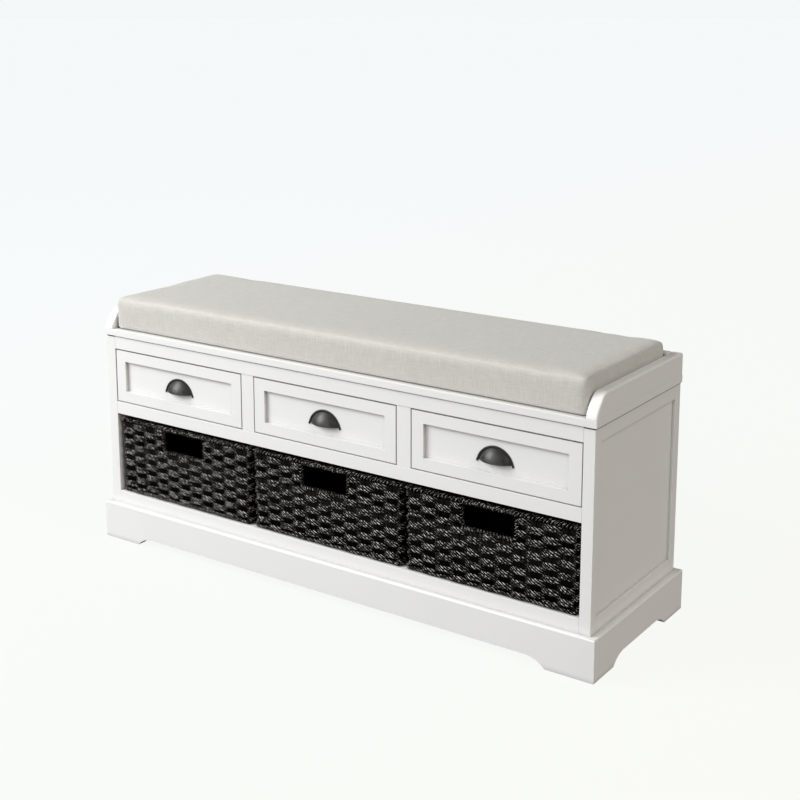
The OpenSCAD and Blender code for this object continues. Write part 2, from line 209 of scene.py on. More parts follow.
def work_out(tree, operation, a, b=None):
    """One sum on two values or sockets."""
    return put(tree, "ShaderNodeMath", a, b, operation=operation).outputs[0]


def times(tree, a, b):
    """The product of two values or sockets."""
    return work_out(tree, "MULTIPLY", a, b)


def noise(tree, place, scale, detail, rough):
    """Cloudy noise, about 0.5 on the whole."""
    return put(tree, "ShaderNodeTexNoise", place, None, scale, detail, rough).outputs[0]


def stretched(tree, place, by):
    """A place scaled by an amount along each axis, which draws a pattern out or in."""
    return put(tree, "ShaderNodeVectorMath", place, by, operation="MULTIPLY").outputs[0]


def bumped(tree, height, strength=1.0):
    """The normal of a surface that stands out by a height in metres."""
    return put(tree, "ShaderNodeBump", strength, 1.0, None, height).outputs[0]


def shaded(colour, by):
    """A darker or brighter version of a colour."""
    return tuple(min(1.0, by * c) for c in colour)


def effect(name, takes, gives):
    """An empty node group with named inputs and outputs: takes and gives map names to kinds."""
    group = bpy.data.node_groups.new(name, "ShaderNodeTree")
    for label, kind in takes.items():
        group.interface.new_socket(label, in_out="INPUT", socket_type="NodeSocket" + kind)
    for label, kind in gives.items():
        group.interface.new_socket(label, in_out="OUTPUT", socket_type="NodeSocket" + kind)
    return group, group.nodes.new("NodeGroupInput").outputs, group.nodes.new("NodeGroupOutput").inputs


def use(tree, group, *values):
    """Places an effect in a material and returns its outputs."""
    return put(tree, "ShaderNodeGroup", *values, node_tree=group).outputs


# uneven tone: soft clouds at a given scale, from 0 to 1
mottle, given, made = effect("mottle", {"Vector": "Vector", "Scale": "Float"}, {"Tone": "Float"})
clouds = noise(mottle, given["Vector"], given["Scale"], 4.0, 0.6)
mottle.links.new(ranged(mottle, clouds, 0.28, 0.72), made["Tone"])

# rubbed arris: the eased edge, broken up where hands and the sander missed it
rubbed, given, made = effect(
    "rubbed_arris", {"Vector": "Vector", "Edge": "Float", "Amount": "Float"}, {"Mask": "Float"})
patches = noise(rubbed, given["Vector"], 46.0, 5.0, 0.65)
spread = ranged(rubbed, patches, 0.35, 0.65, 0.25, 1.0)
share = times(rubbed, spread, given["Edge"])
rubbed.links.new(times(rubbed, share, given["Amount"]), made["Mask"])

# inner corners: painted shade, a darker coat within a few mm of where two boards meet
corners, given, made = effect("painted_corner_shade", {"Reach": "Float"}, {"Mask": "Float"})
open_air = put(corners, "ShaderNodeAmbientOcclusion", None, given["Reach"], samples=12).outputs["AO"]
corners.links.new(ranged(corners, open_air, 0.35, 0.95, 1.0, 0.0), made["Mask"])

# sprayed skin: the fine dimpled surface of a sprayed or moulded coat, as a normal
skin, given, made = effect(
    "sprayed_skin", {"Vector": "Vector", "Scale": "Float", "Depth": "Float"}, {"Normal": "Vector"})
dimples = noise(skin, given["Vector"], given["Scale"], 2.0, 0.5)
height = times(skin, dimples, given["Depth"])
skin.links.new(bumped(skin, height), made["Normal"])


def coated(name, coat, worn, roughness, dimple_scale, dimple_depth, wear):
    """A sprayed coat: even colour with faint clouds, painted shade in inner corners, a duller rubbed
    edge and a dimpled skin.
    """
    made_finish, tree, shader, place = finish(name, roughness, Specular_IOR_Level=0.5)
    edge = put(tree, "ShaderNodeAttribute", attribute_name="eased").outputs["Fac"]
    tone = use(tree, mottle, place, 3.5)["Tone"]
    worn_here = use(tree, rubbed, place, edge, wear)["Mask"]
    clean = mixed(tree, tone, shaded(coat, cloud_shade), coat)
    # painted shade: the coat darkens towards inner corners, by ambient occlusion
    in_corner = use(tree, corners, corner_reach)["Mask"]
    corner_shaded = mixed(tree, in_corner, clean, shaded(coat, corner_shade))
    tree.links.new(mixed(tree, worn_here, corner_shaded, worn), shader.inputs["Base Color"])
    uneven = use(tree, mottle, place, 60.0)["Tone"]
    gloss = ranged(tree, uneven, 0.0, 1.0, roughness - 0.05, roughness + 0.05)
    tree.links.new(
        work_out(tree, "ADD", gloss, times(tree, worn_here, 0.15)),
        shader.inputs["Roughness"])
    tree.links.new(
        use(tree, skin, place, dimple_scale, dimple_depth)["Normal"], shader.inputs["Normal"])
    return made_finish


def show(work, name, body, finish_used):
    """Makes a finished bmesh a piece of the bench that rides on a body."""
    mesh = bpy.data.meshes.new(name)
    work.to_mesh(mesh)
    work.free()
    piece = put_in_scene(name, mesh)
    mesh.materials.append(finish_used)
    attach(piece, body)
    return piece


def smooth(piece, crease_degrees=36):
    """Rounded edges shade as rounds and flat faces stay flat."""
    piece.data.shade_smooth()
    piece.data.set_sharp_from_angle(angle=math.radians(crease_degrees))
    even = piece.modifiers.new("even_faces", "WEIGHTED_NORMAL")
    even.keep_sharp = True


def round_over(work, edges, radius, segments, keep_apart=False):
    """Rounds edges; keep_apart makes the rounds smaller where they would run together."""
    return bmesh.ops.bevel(
        work, geom=edges, offset=radius, affect="EDGES", segments=segments, profile=0.5,
        material=-1, clamp_overlap=keep_apart)["faces"]


def eased_copy(node, body, finish_used, ease=0.0006, round_radius=0, round_where=None):
    """The CAD solid with its arrises eased; edges that round_where picks get a larger radius."""
    work = bmesh.new()
    work.from_mesh(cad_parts[node].data)
    bmesh.ops.remove_doubles(work, verts=work.verts, dist=2e-6)
    bmesh.ops.dissolve_limit(
        work, angle_limit=math.radians(0.5), verts=work.verts, edges=work.edges)
    eased = work.faces.layers.float.new("eased")
    sharp = math.radians(34)
    for radius, segments, picked in ((round_radius, 6, round_where), (ease, 3, lambda edge: True)):
        edges = [
            e for e in work.edges
            if radius and len(e.link_faces) == 2 and e.calc_face_angle(0) > sharp and picked(e)]
        if edges:
            for face in round_over(work, edges, radius, segments, keep_apart=True):
                face[eased] = 1.0
    piece = show(work, node + "_finished", body, finish_used)
    smooth(piece)
    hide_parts(node)


white_paint = coated("white_paint", white_coat, rubbed_coat, 0.42, 900.0, 0.00002, 0.5)

# painted shadow: a near-black band in the shadow gap above the posts and the side rails, reaching a
# little down their outer faces
gap_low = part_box("seat_board")[0].z - gap_drop
tree = white_paint.node_tree
shader = tree.nodes["Principled BSDF"]
spot = put(tree, "ShaderNodeSeparateXYZ", put(tree, "ShaderNodeTexCoord").outputs["Object"]).outputs
above = work_out(tree, "GREATER_THAN", spot["Z"], gap_low)
below = work_out(tree, "LESS_THAN", spot["Z"], gap_low + gap_height)
outside = work_out(tree, "GREATER_THAN", work_out(tree, "ABSOLUTE", spot["X"]), gap_from_x)
in_gap_shadow = times(tree, times(tree, above, below), outside)
painted = shader.inputs["Base Color"].links[0].from_socket
tree.links.new(mixed(tree, in_gap_shadow, painted, gap_shadow_colour), shader.inputs["Base Color"])

painted_boards = ["top_front_rail", "middle_front_rail", "bottom_front_rail"]
for side in ("left", "right"):
    parts = ("front_post", "back_post", "side_top_rail", "side_bottom_rail", "side_panel", "mullion")
    painted_boards += [f"{side}_{part}" for part in parts]
for node in painted_boards:
    eased_copy(node, "cabinet", white_paint)

# --------------------------------------------------
# Plinth: four painted boards mitred round the foot of the cabinet, cut away between the feet,
# with glued corner blocks of bare wood that also carry the bench.

bare_wood_light = (0.70, 0.53, 0.34)
bare_wood_dark = (0.50, 0.34, 0.19)

# wood figure: long growth bands with fine pores, drawn out along x
figure, given, made = effect(
    "wood_figure", {"Vector": "Vector", "Scale": "Float"}, {"Bands": "Float", "Pores": "Float"})
drawn_out = stretched(figure, given["Vector"], (0.06, 1.0, 1.0))
wander = noise(figure, drawn_out, given["Scale"], 5.0, 0.55)
stripes = work_out(figure, "SINE", times(figure, wander, 42.0))
figure.links.new(ranged(figure, stripes, -1.0, 1.0), made["Bands"])
flecks = noise(figure, drawn_out, 1400.0, 2.0, 0.6)
figure.links.new(ranged(figure, flecks, 0.42, 0.6), made["Pores"])


def bare_wood(name, light, dark, scale, sawn_depth):
    """Unpainted wood with its figure and a slightly furry sawn surface."""
    made_finish, tree, shader, place = finish(name, 0.7, Specular_IOR_Level=0.35)
    drawn = use(tree, figure, place, scale)
    banded = mixed(tree, drawn["Bands"], dark, light)
    pored = mixed(tree, times(tree, drawn["Pores"], 0.35), banded, dark)
    tree.links.new(pored, shader.inputs["Base Color"])
    tree.links.new(ranged(tree, drawn["Pores"], 0.0, 1.0, 0.62, 0.8), shader.inputs["Roughness"])
    height = times(tree, drawn["Pores"], -sawn_depth)
    tree.links.new(bumped(tree, height), shader.inputs["Normal"])
    return made_finish


raw_wood = bare_wood("raw_wood", bare_wood_light, bare_wood_dark, 9.0, 0.0001)

for node in ("plinth_front", "plinth_back", "plinth_left", "plinth_right"):
    eased_copy(node, "cabinet", white_paint)
eased_copy("plinth_corner_blocks", "cabinet", raw_wood, ease=0.0008)

# --------------------------------------------------
# Carcass inside: partitions, drawer shelf, bottom board and back rail are foil-faced board,
# duller than the paint outside; the thin painted back is screwed on from behind.

board_foil = (0.80, 0.80, 0.785)
foil_edge = (0.72, 0.715, 0.69)
white_board = coated("white_board", board_foil, foil_edge, 0.55, 1500.0, 0.000012, 0.6)

for node in ("left_partition", "right_partition", "drawer_shelf", "bottom_board", "top_back_rail"):
    eased_copy(node, "cabinet", white_board, ease=0.0004)
eased_copy("back_panel", "cabinet", white_paint, ease=0.0004)

# --------------------------------------------------
# Seat: one painted board over the cabinet with a shadow line below it, and a low gallery on
# three sides whose upper edges are well rounded over.

gallery_round = 0.003
gallery_ease = 0.0005
seat_top_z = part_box("seat_board")[1].z


def above_the_seat(edge):
    """Picks every edge of a gallery but the ones that lie on the seat board."""
    return max(v.co.z for v in edge.verts) > seat_top_z + 0.5 * gallery_ease


eased_copy("seat_board", "cabinet", white_paint, ease=0.0012)
for node in ("left_gallery", "right_gallery", "back_gallery"):
    eased_copy(
        node, "cabinet", white_paint, ease=gallery_ease,
        round_radius=gallery_round, round_where=above_the_seat)

# --------------------------------------------------
# Drawer runners: pressed channels of bright zinc-plated steel, screwed to the cabinet and to
# the drawer sides.

zinc_bright = (0.62, 0.63, 0.65)
zinc_dull = (0.42, 0.43, 0.46)


def metal(name, bright, dull, roughness, grain, grain_depth, **levels):
    """Bare or plated metal: cloudy tone, uneven gloss, brighter rubbed edges and a fine grain."""
    made_finish, tree, shader, place = finish(name, roughness, **levels)
    edge = put(tree, "ShaderNodeAttribute", attribute_name="eased").outputs["Fac"]
    tone = use(tree, mottle, place, 85.0)["Tone"]
    plated = mixed(tree, tone, dull, bright)
    polished = use(tree, rubbed, place, edge, 0.7)["Mask"]
    tree.links.new(mixed(tree, polished, plated, shaded(bright, 1.25)), shader.inputs["Base Color"])
    uneven = use(tree, mottle, place, 260.0)["Tone"]
    gloss = ranged(tree, uneven, 0.0, 1.0, roughness - 0.08, roughness + 0.1)
    tree.links.new(
        work_out(tree, "SUBTRACT", gloss, times(tree, polished, 0.08)),
        shader.inputs["Roughness"])
    tree.links.new(use(tree, skin, place, grain, grain_depth)["Normal"], shader.inputs["Normal"])
    return made_finish


zinc_steel = metal("zinc_steel", zinc_bright, zinc_dull, 0.34, 1100.0, 0.00001, Metallic=1.0)

eased_copy("cabinet_runners", "cabinet", zinc_steel, ease=0.0003)
for side in ("left", "middle", "right"):
    eased_copy(f"{side}_drawer_runners", f"{side}_drawer", zinc_steel, ease=0.0003)

# --------------------------------------------------
# Drawers: a routed painted front on a box of foil-faced board, with a thin plywood bottom
# held in a groove.

ply_light = (0.74, 0.58, 0.39)
ply_dark = (0.60, 0.43, 0.26)
plywood = bare_wood("plywood", ply_light, ply_dark, 5.0, 0.00006)

for side in ("left", "middle", "right"):
    body = f"{side}_drawer"
    eased_copy(f"{side}_drawer_front", body, white_paint, ease=0.0004)
    for part in ("left_side", "right_side", "back"):
        eased_copy(f"{side}_drawer_{part}", body, white_board, ease=0.0005)
    eased_copy(f"{side}_drawer_bottom", body, plywood, ease=0.0003)

# --------------------------------------------------
# Screws: round-headed with a cross recess, zinc-plated. Two hold each pull from inside its
# drawer, and fifteen hold the back panel.

recess_arm = 0.58
recess_width = 0.17
recess_depth = 0.6
recess_taper = 0.7
head_flat = 0.68
head_rim = 0.25
head_steps = 4


def cross_head(work, centre, head_r, head_h, shank_r, shank_l):
    """One screw whose head faces +Y: centre is the middle of the head's flat side."""
    screw = bmesh.new()
    arm, half = recess_arm * head_r, recess_width * head_r
    outline = [
        (half, arm), (half, half), (arm, half), (arm, -half), (half, -half), (half, -arm),
        (-half, -arm), (-half, -half), (-arm, -half), (-arm, half), (-half, half), (-half, arm),
    ]
    rings = []
    for step in range(head_steps + 1):
        turn = 0.5 * math.pi * step / head_steps
        radius = head_r * (head_flat + (1 - head_flat) * math.cos(turn))
        lift = Matrix.Translation((0, 0, head_h * (head_rim + (1 - head_rim) * math.sin(turn))))
        rings.append(
            bmesh.ops.create_circle(screw, segments=24, radius=radius, matrix=lift)["verts"])
    seat_ring = bmesh.ops.create_circle(screw, segments=24, radius=head_r)["verts"]
    neck_ring = bmesh.ops.create_circle(screw, segments=24, radius=shank_r)["verts"]
    tip_ring = bmesh.ops.create_circle(
        screw, cap_ends=True, segments=24, radius=0.8 * shank_r,
        matrix=Matrix.Translation((0, 0, -shank_l)))["verts"]
    stack = [tip_ring, neck_ring, seat_ring, *rings]
    for lower, upper in zip(stack, stack[1:]):
        bmesh.ops.bridge_loops(screw, edges=loop_edges(lower) + loop_edges(upper))
    star = [screw.verts.new((x, y, head_h)) for x, y in outline]
    star_edges = [screw.edges.new((a, b)) for a, b in zip(star, star[1:] + star[:1])]
    bmesh.ops.bridge_loops(screw, edges=loop_edges(rings[-1]) + star_edges)
    sunk = bmesh.ops.extrude_edge_only(screw, edges=star_edges)["geom"]
    sunk_verts = [g for g in sunk if isinstance(g, bmesh.types.BMVert)]
    bmesh.ops.translate(screw, verts=sunk_verts, vec=(0, 0, -recess_depth * head_h))
    bmesh.ops.scale(screw, verts=sunk_verts, vec=(recess_taper, recess_taper, 1))
    bmesh.ops.contextual_create(
        screw, geom=[g for g in sunk if isinstance(g, bmesh.types.BMEdge) and g.is_boundary])
    bmesh.ops.recalc_face_normals(screw, faces=screw.faces)
    bmesh.ops.transform(
        screw, verts=screw.verts,
        matrix=Matrix.Translation(centre) @ Matrix.Rotation(-math.pi / 2, 4, "X"))
    single = bpy.data.meshes.new("screw")
    screw.to_mesh(single)
    screw.free()
    work.from_mesh(single)
    bpy.data.meshes.remove(single)


def loop_edges(ring):
    """The edges that join the points of one ring, always in the same order."""
    points = set(ring)
    return [e for e in dict.fromkeys(e for v in ring for e in v.link_edges) if set(e.verts) <= points]


def screws(node, body, centres, head_r, head_h, shank_r, shank_l):
    """All the screws of one CAD node as one piece."""
    work = bmesh.new()
    for centre in centres:
        cross_head(work, centre, head_r, head_h, shank_r, shank_l)
    piece = show(work, node + "_finished", body, zinc_steel)
    smooth(piece)
    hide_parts(node)


def solid_middles(node):
    """The middle, in x and z, of each separate solid in a CAD node, and the node's y range."""
    solid = bmesh.new()
    solid.from_mesh(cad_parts[node].data)
    bmesh.ops.remove_doubles(solid, verts=solid.verts, dist=1e-5)
    left, middles = set(solid.verts), []
    while left:
        island, edge_of_island = set(), {next(iter(left))}
        while edge_of_island:
            island |= edge_of_island
            edge_of_island = {e.other_vert(v) for v in edge_of_island for e in v.link_edges} - island
        left -= island
        xs, zs = [v.co.x for v in island], [v.co.z for v in island]
        middles.append((0.5 * (min(xs) + max(xs)), 0.5 * (min(zs) + max(zs))))
    solid.free()
    low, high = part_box(node)
    return sorted((round(x, 5), round(z, 5)) for x, z in middles), low.y, high.y


back_middles, back_y0, back_y1 = solid_middles("back_panel_screws")
screw_head_r = 0.004
back_head_h = 0.0016
screws(
    "back_panel_screws", "cabinet", [(x, back_y1 - back_head_h, z) for x, z in back_middles],
    head_r=screw_head_r, head_h=back_head_h, shank_r=0.0015, shank_l=back_y1 - back_y0 - back_head_h)

pull_head_h = 0.0022
for side in ("left", "middle", "right"):
    node = f"{side}_pull_screws"
    middles, y0, y1 = solid_middles(node)
    screws(
        node, f"{side}_drawer", [(x, y1 - pull_head_h, z) for x, z in middles],
        head_r=screw_head_r, head_h=pull_head_h, shank_r=0.002, shank_l=y1 - y0 - pull_head_h)

# --------------------------------------------------
# Cup pulls: cast half-domes on a thin flange, finished in dark gunmetal, open below for the
# fingers, with a small rounded foot at each end and two threaded bosses inside.

gunmetal_light = (0.034, 0.031, 0.027)
gunmetal_dark = (0.015, 0.0145, 0.014)
flange_width = 0.0035
flange_thick = 0.0016
cup_wall = 0.0018
lip_height = 0.0037
boss_height = 0.009
boss_radius = 0.0034
boss_from_middle = 0.016
cast_ease = 0.0004
dome_steps = 14
gunmetal = metal(
    "gunmetal", gunmetal_light, gunmetal_dark, 0.46, 700.0, 0.00003,
    Metallic=0.3, Coat_Weight=0.25, Coat_Roughness=0.3)


def arc_points(centre_y, radius, from_r, to_r, steps):
    """Points of a dome's section from one distance off its axis to another."""
    start, end = math.asin(from_r / radius), math.asin(to_r / radius)
    turns = [start + (end - start) * k / steps for k in range(steps + 1)]
    return [(radius * math.sin(t), centre_y - radius * math.cos(t)) for t in turns]


for side in ("left", "middle", "right"):
    low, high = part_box(f"{side}_cup_pull")
    flange_r = 0.5 * (high.x - low.x)
    cup_out = high.y - low.y
    cup_foot_r = flange_r - flange_width
    dome_r = (cup_foot_r ** 2 + cup_out ** 2) / (2 * cup_out)
    dome_y = dome_r - cup_out
    axis = Vector((0.5 * (low.x + high.x), high.y, high.z - flange_r))
    outside = arc_points(dome_y, dome_r, 0.0, cup_foot_r - 2 * cast_ease, dome_steps)
    # the flange's section, from the foot of the dome outwards and back, with its small radii
    rim = [
        (cup_foot_r + 0.0004, -flange_thick - 0.0002), (cup_foot_r + 0.0012, -flange_thick),
        (flange_r - 0.0006, -flange_thick), (flange_r - 0.0002, -flange_thick + 0.0002),
        (flange_r, -flange_thick + 0.0007), (flange_r, 0.0), (cup_foot_r - cup_wall, 0.0),
    ]
    inside = arc_points(dome_y, dome_r - cup_wall, 0.0, cup_foot_r - cup_wall - 0.0006, dome_steps)
    section = outside + rim + inside[::-1]
    work = bmesh.new()
    verts = [work.verts.new((r, y, 0)) for r, y in section]
    edges = [work.edges.new(pair) for pair in zip(verts, verts[1:])]
    bmesh.ops.spin(
        work, geom=verts + edges, cent=(0, 0, 0), axis=(0, 1, 0), angle=2 * math.pi,
        steps=96, use_merge=True, use_duplicate=False)
    bmesh.ops.remove_doubles(work, verts=work.verts, dist=1e-6)
    cut_z = low.z - axis.z + lip_height
    bmesh.ops.bisect_plane(
        work, geom=work.verts[:] + work.edges[:] + work.faces[:], dist=1e-7,
        plane_co=(0, 0, cut_z), plane_no=(0, 0, 1), clear_inner=True)
    open_edges = [e for e in work.edges if e.is_boundary]
    lip = bmesh.ops.holes_fill(work, edges=open_edges, sides=0)["faces"]
    bmesh.ops.recalc_face_normals(work, faces=work.faces)
    round_over(work, [e for face in lip for e in face.edges], cast_ease, 3, keep_apart=True)
    quarter_turn = Matrix.Rotation(math.pi / 2, 4, "X")
    foot_r = 0.5 * flange_width
    for end in (-1, 1):
        centre = (end * (flange_r - foot_r - 0.0001), -0.5 * flange_thick, low.z - axis.z + foot_r)
        foot = bmesh.ops.create_cone(
            work, cap_ends=True, segments=20, radius1=foot_r, radius2=foot_r,
            depth=flange_thick, matrix=Matrix.Translation(centre) @ quarter_turn)["verts"]
        upper = [v for v in foot if v.co.z > centre[2] + 0.0001]
        bmesh.ops.translate(work, verts=upper, vec=(-end * cast_ease, 0, lip_height - foot_r))
        edges = dict.fromkeys(e for v in foot for e in v.link_edges)
        rounds = [e for e in edges if abs(e.verts[0].co.y - e.verts[1].co.y) < 1e-6]
        round_over(work, rounds, cast_ease, 3, keep_apart=True)
        boss_x, boss_z = end * boss_from_middle, low.z - axis.z + boss_height
        reach = math.sqrt((dome_r - 0.5 * cup_wall) ** 2 - boss_x ** 2 - boss_z ** 2) - dome_y
        bmesh.ops.create_cone(
            work, cap_ends=True, segments=24, radius1=boss_radius, radius2=boss_radius,
            depth=reach, matrix=Matrix.Translation((boss_x, -0.5 * reach, boss_z)) @ quarter_turn)
    bmesh.ops.translate(work, verts=work.verts, vec=axis)
    pull = show(work, f"{side}_cup_pull_finished", f"{side}_drawer", gunmetal)
    smooth(pull, crease_degrees=50)
    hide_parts(f"{side}_cup_pull")

# --------------------------------------------------
# Baskets: twisted black-stained rush woven two strands at a time in and out of upright
# stakes over a thin black sheet of painted shade, with a wrapped border along the rim and round the
# hand hole.

rush_black = (0.0015, 0.0013, 0.0012)
rush_brown = (0.0042, 0.0034, 0.0027)
# light grey of stain worn thin, also used as a painted highlight on proud crests
rush_worn_and_highlight = (0.72, 0.69, 0.64)
rush_corner_reach = 0.005
strand_lay = 0.034
strand_plies = 4
stakes_round = 42
strands_together = 2
strand_half_w = 0.0023
strand_half_h = 0.0030
wave_depth = 0.0030
wall_middle = 0.0054
strand_count = 26
strand_rings = 360
strand_sides = 9
ply_relief = 0.06
open_mark = 100
rim_height = 0.0096
corner_r = 0.007
wall_lean = 0.002
hole_w = 0.097
hole_h = 0.039
hole_drop = 0.0085
hole_clear = 0.0035
lining_thick = 0.0012
lining_foot = 0.002
lining_lap = 0.003
lining_top = 0.004
floor_corner_r = 0.003
floor_gap = 0.001
rim_depth = 0.0058
hole_corner_r = 0.004
hole_cord_out = 0.0065
hole_cord_depth = 0.0046
base_rows = 46
base_middle = 0.0034
base_inset = 0.006
base_half_w = 0.0032
base_half_h = 0.0022
base_wave = 0.026
base_wave_depth = 0.0011
stake_r = 0.0014
stake_foot = 0.003
stake_top = 0.006
stake_clear = 0.006

# twisted strand: diagonal plies from a UV whose u runs along the strand in metres
plies, given, made = effect(
    "twisted_plies", {"UV": "Vector", "Lay": "Float", "Vector": "Vector"},
    {"Crest": "Float", "Fibre": "Float"})
parts = put(plies, "ShaderNodeSeparateXYZ", given["UV"]).outputs
along = work_out(plies, "DIVIDE", parts["X"], given["Lay"])
twisted = work_out(plies, "ADD", parts["Y"], along)
turns = times(plies, twisted, 2 * math.pi * strand_plies)
crest = work_out(plies, "COSINE", turns)
plies.links.new(ranged(plies, crest, -1.0, 1.0), made["Crest"])
strand_place = put(
    plies, "ShaderNodeCombineXYZ", times(plies, parts["X"], 160.0),
    times(plies, turns, 1.1), 0.0)
shift = stretched(plies, given["Vector"], (9.0, 9.0, 140.0))
shifted = put(plies, "ShaderNodeVectorMath", strand_place.outputs[0], shift, operation="ADD")
streaks = noise(plies, shifted.outputs[0], 1.0, 3.0, 0.6)
plies.links.new(ranged(plies, streaks, 0.36, 0.68), made["Fibre"])

rush, tree, shader, place = finish("black_rush", 0.42)
strand_uv = put(tree, "ShaderNodeUVMap", uv_map="strand").outputs[0]
twist = use(tree, plies, strand_uv, strand_lay, place)
tone = use(tree, mottle, place, 30.0)["Tone"]
stain = mixed(tree, tone, rush_black, rush_brown)
proud = put(tree, "ShaderNodeAttribute", attribute_name="proud").outputs["Fac"]
crest_only = ranged(tree, twist["Crest"], 0.58, 0.92)
handled = ranged(tree, use(tree, mottle, place, 240.0)["Tone"], 0.40, 0.68, 0.0, 2.2)
# painted shade: the light crests fade out in inner corners, by ambient occlusion
clear_of_corner_shade = work_out(tree, "SUBTRACT", 1.0, use(tree, corners, rush_corner_reach)["Mask"])
# worn stain and painted highlight: the crests of proud strands turn light grey
worn = times(tree, crest_only, ranged(tree, twist["Fibre"], 0.0, 1.0, 0.25, 1.0))
for share in (handled, proud, clear_of_corner_shade):
    worn = times(tree, worn, share)
tree.links.new(mixed(tree, worn, stain, rush_worn_and_highlight), shader.inputs["Base Color"])
sheen = times(tree, crest_only, proud)
tree.links.new(ranged(tree, sheen, 0.0, 1.0, 0.03, 0.45), shader.inputs["Specular IOR Level"])
tree.links.new(ranged(tree, twist["Fibre"], 0.0, 1.0, 0.34, 0.6), shader.inputs["Roughness"])
ply_height = times(tree, twist["Crest"], 0.0009)
fibre_height = times(tree, twist["Fibre"], 0.0002)
strand_height = work_out(tree, "ADD", ply_height, fibre_height)
tree.links.new(bumped(tree, strand_height, 0.9), shader.inputs["Normal"])


def round_the_wall(travel, half_x, half_y, radius):
    """Where a round-cornered outline is at each share of its way round, from the middle of the
    front: the corner centre there, the outward direction and the whole length."""
    flat_x, flat_y, arc = half_x - radius, half_y - radius, 0.5 * math.pi * radius
    lengths = [flat_x, arc, 2 * flat_y, arc, 2 * flat_x, arc, 2 * flat_y, arc, flat_x]
    marks = np.concatenate([[0], np.cumsum(lengths)])
    at = (travel % 1.0) * marks[-1]
    facing = np.radians(np.interp(at, marks, [-90, -90, 0, 0, 90, 90, 180, 180, 270, 270]))
    side_x = np.interp(at, marks, [0, 1, 1, 1, 1, -1, -1, -1, -1, 0])
    side_y = np.interp(at, marks, [-1, -1, -1, 1, 1, 1, 1, -1, -1, -1])
    return side_x, side_y, np.cos(facing), np.sin(facing), marks[-1]


def strand_charts(rows, rings, sides):
    """Unrolled strands, one grid each: x is the share of the length, y the turn round the
    strand and z the number of the strand."""
    work = bmesh.new()
    for row in rows:
        bmesh.ops.create_grid(
            work, x_segments=rings, y_segments=sides, size=0.5,
            matrix=Matrix.Translation((0.5, 0.5, row)))
    return work


def read_out(items, field, width=1, kind=np.float32):
    """One field of every item, as an array."""
    flat = np.zeros(width * len(items), kind)
    items.foreach_get(field, flat)
    return flat.reshape(-1, width) if width > 1 else flat


def as_points(*parts):
    """Points from their coordinates; a single number goes for all of them."""
    return np.stack(np.broadcast_arrays(*parts), 1)


def lay_strands(work, name, body, run_length, lay):
    """Rolls unrolled strands into place: lay() turns chart points into points in space, and
    says how proud of the wall each one stands, which lightens the colour: partly stain worn thin,
    partly a painted highlight."""
    mesh = bpy.data.meshes.new(name)
    work.to_mesh(mesh)
    chart = read_out(mesh.vertices, "co", 3).astype(float)
    corner = read_out(mesh.loops, "vertex_index", kind=np.int32)
    uv = mesh.uv_layers.new(name="strand")
    flat = chart[corner][:, :2] * (run_length, 1.0)
    uv.data.foreach_set("uv", flat.astype(np.float32).ravel())
    points, proud_by = lay(chart)
    mesh.vertices.foreach_set("co", points.astype(np.float32).ravel())
    stands = mesh.attributes.new("proud", "FLOAT", "POINT")
    stands.data.foreach_set("value", (proud_by + np.zeros(len(chart))).astype(np.float32))
    work.clear()
    work.from_mesh(mesh)
    bpy.data.meshes.remove(mesh)
    bmesh.ops.remove_doubles(work, verts=work.verts, dist=2e-5)
    bmesh.ops.recalc_face_normals(work, faces=work.faces)
    piece = show(work, name, body, rush)
    piece.data.shade_smooth()
    return piece


def rolled(chart, half_w, half_h, run_length, phase):
    """Offsets outward and upward for a twisted strand."""
    turn = 2 * math.pi * chart[:, 1]
    twisted = turn + 2 * math.pi * chart[:, 0] * run_length / strand_lay + phase
    ply = 1 + ply_relief * np.cos(strand_plies * twisted)
    return half_w * ply * np.cos(turn), half_h * ply * np.sin(turn)


def wrapped_cord(work, name, body, path, run_length, starts, pitch, reach_out, reach_up, cord_r):
    """A border of several cords wound round a path; path(share) gives point, outward and up."""
    whole_turns = round(run_length / pitch)
    turn_length = math.hypot(pitch, math.pi * (reach_out + reach_up))
    cord_length = whole_turns * turn_length

    def lay(chart):
        share, turn, number = chart[:, :1], 2 * math.pi * chart[:, 1:2], np.round(chart[:, 2:])
        wind = 2 * math.pi * (share * whole_turns + number / starts)
        across, rise = np.cos(wind), np.sin(wind)
        point, out, up = path(share[:, 0] % 1.0)
        middle = point + out * reach_out * across + up * reach_up * rise
        spoke, along = out * across + up * rise, np.cross(out, up)
        twisted = turn + 2 * math.pi * share * cord_length / strand_lay
        flesh = cord_r * (1 + 0.1 * np.cos(strand_plies * twisted))
        points = middle + spoke * flesh * np.cos(turn) + along * flesh * np.sin(turn)
        # the wraps turn lighter where they face outward and a little upward: worn stain and painted
        # highlight
        return points, 0.25 + 0.9 * np.clip(np.cos(wind[:, 0] - 0.4), 0, 1) ** 2

    return lay_strands(work, name, body, cord_length, lay)


def block(low, high):
    """A box between two corners, and its upright edges."""
    work = bmesh.new()
    bmesh.ops.create_cube(work, size=1.0)
    bmesh.ops.scale(work, verts=work.verts, vec=high - low)
    bmesh.ops.translate(work, verts=work.verts, vec=0.5 * (low + high))
    return work, [e for e in work.edges if abs(e.verts[0].co.z - e.verts[1].co.z) > 1e-4]


